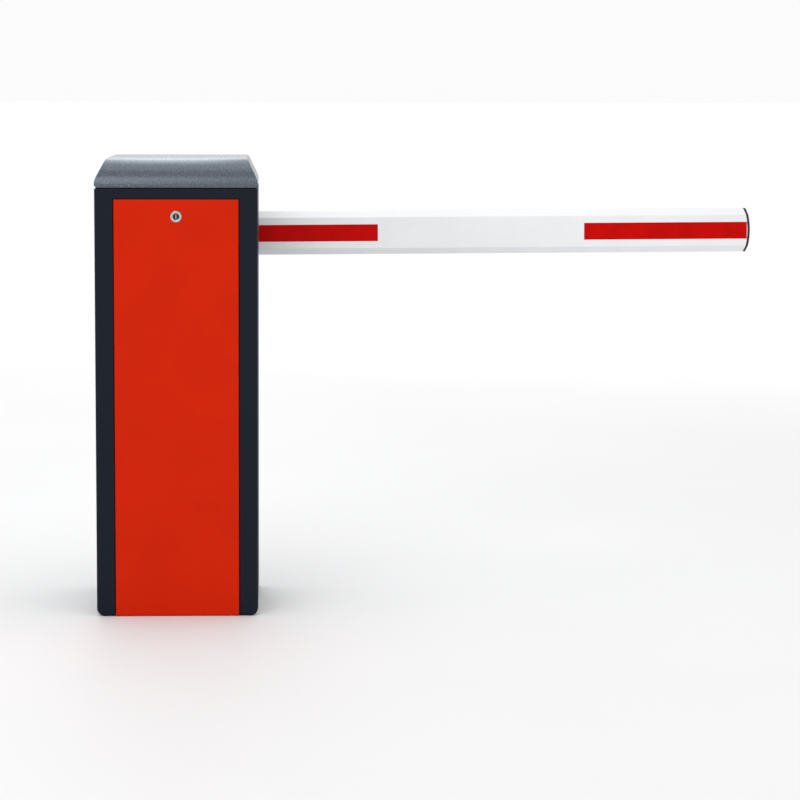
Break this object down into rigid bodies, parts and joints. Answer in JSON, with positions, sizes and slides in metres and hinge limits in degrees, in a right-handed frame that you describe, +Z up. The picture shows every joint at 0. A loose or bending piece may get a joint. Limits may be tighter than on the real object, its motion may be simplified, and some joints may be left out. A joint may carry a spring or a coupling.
{
  "type": "parking barrier gate",
  "caption": "Upright steel cabinet with a lift-off door and curved cover, carrying a straight octagonal boom that a motor raises to stop or pass vehicles.",
  "frame": {"origin": "centre of the cabinet's base and of its four anchor bolt holes, on the ground", "axes": "+X along the lowered boom, +Y from the door towards the boom's side, +Z up"},
  "size_m": [1.481, 0.3975, 0.993],
  "materials": {
    "cabinet_paint": "dark grey textured powder coat",
    "cover_paint": "dark grey textured powder coat, satin",
    "door_paint": "orange-red powder coat, satin",
    "boom_paint": "white powder coat, satin",
    "reflective_tape": "red retroreflective tape",
    "black_plastic": "moulded black plastic, fine texture",
    "lock_chrome": "polished",
    "dark_steel": "turned, dark",
    "zinc_steel": "bright zinc plated",
    "galvanised_sheet": "galvanised sheet",
    "shaft_steel": "ground steel",
    "lever_paint": "black paint",
    "gear_casting": "grey painted casting",
    "bearing_casting": "machined casting",
    "motor_paint": "blue-grey enamel",
    "rotor_steel": "laminated steel",
    "wheel_bronze": "cast bronze",
    "spring_steel": "oil-tempered spring steel",
    "rubber": "black rubber",
    "foam_seal": "black foam strip",
    "control_plastic": "light grey moulded plastic",
    "lid_plastic": "light grey moulded plastic",
    "board_green": "green coated board",
    "terminal_plastic": "green connector plastic",
    "transformer_core": "laminated core",
    "handwheel_plastic": "red moulded plastic"
  },
  "bodies": {
    "cabinet": {"side_walls": "cabinet_paint", "floor_pan": "cabinet_paint", "back_panel": "cabinet_paint", "shell_rim": "cabinet_paint", "base_plate": "galvanised_sheet", "cable_grommet": "rubber", "door_frame": "cabinet_paint", "door_sill": "cabinet_paint", "top_cover": "cover_paint", "cover_gasket": "foam_seal", "cover_screws": "zinc_steel", "mechanism_frame": "galvanised_sheet", "front_bearing": "bearing_casting", "rear_bearing": "bearing_casting", "drive_bolts": "zinc_steel", "gearbox_housing": "gear_casting", "gearbox_cover": "gear_casting", "motor_body": "motor_paint", "motor_end_bell": "motor_paint", "motor_wiring_box": "black_plastic", "spring_bracket": "galvanised_sheet", "tension_bolts": "zinc_steel", "tension_nuts": "zinc_steel", "balance_springs": "spring_steel", "rubber_buffers": "rubber", "switch_bracket": "galvanised_sheet", "limit_switches": "black_plastic", "control_box": "control_plastic", "control_lid": "lid_plastic", "circuit_board": "board_green", "transformer": "transformer_core", "terminal_block": "terminal_plastic"},
    "boom": {"main_shaft": "shaft_steel", "rocker_lever": "lever_paint", "rocker_pins": "shaft_steel", "limit_cam": "black_plastic", "boom_hub": "lever_paint", "clamp_plates": "lever_paint", "clamp_bolts": "zinc_steel", "boom_tube": "boom_paint", "boom_tip_cap": "black_plastic", "boom_tail_cap": "black_plastic", "reflective_tapes": "reflective_tape"},
    "crank": {"output_shaft": "shaft_steel", "worm_wheel": "wheel_bronze", "crank_arm": "lever_paint", "crank_pin": "shaft_steel"},
    "rod": {"rod_ends": "zinc_steel", "connecting_rod": "zinc_steel", "rod_lock_nuts": "zinc_steel"},
    "worm": {"worm_shaft": "shaft_steel", "motor_rotor": "rotor_steel", "handwheel": "handwheel_plastic"},
    "door": {"door_panel": "door_paint", "door_stiffeners": "galvanised_sheet", "door_hooks": "zinc_steel", "door_seal": "foam_seal", "lock_housing": "lock_chrome"},
    "lock": {"lock_barrel": "dark_steel", "lock_cam": "zinc_steel"}
  },
  "joints": [
    {"name": "boom_lift", "type": "hinge", "parent": "cabinet", "child": "boom", "pos_m": [0, 0.1, 0.81], "axis": [0, -1, 0], "range_deg": [0, 90], "deforming": ["balance_springs"]},
    {"name": "crank_turn", "type": "hinge", "parent": "cabinet", "child": "crank", "pos_m": [0, 0.05, 0.415], "axis": [0, -1, 0], "range_deg": [0, 90]},
    {"name": "rod_swing", "type": "hinge", "parent": "crank", "child": "rod", "pos_m": [0.05657, 0.011, 0.35843], "axis": [0, -1, 0], "range_deg": [-90, 0]},
    {"name": "worm_spin", "type": "hinge", "parent": "cabinet", "child": "worm", "pos_m": [0.054, 0.09, 0.25], "axis": [0, 0, 1], "range_deg": [0, 3600]},
    {"name": "door_tilt", "type": "hinge", "parent": "cabinet", "child": "door", "pos_m": [0, -0.1505, 0.001], "axis": [1, 0, 0], "range_deg": [0, 30]},
    {"name": "lock_turn", "type": "hinge", "parent": "door", "child": "lock", "pos_m": [0, -0.14, 0.869], "axis": [0, -1, 0], "range_deg": [0, 90]}
  ],
  "couplings": [
    {"joint": "crank_turn", "follows": "boom_lift", "ratio": 1},
    {"joint": "rod_swing", "follows": "boom_lift", "ratio": -1},
    {"joint": "worm_spin", "follows": "boom_lift", "ratio": 40}
  ]
}
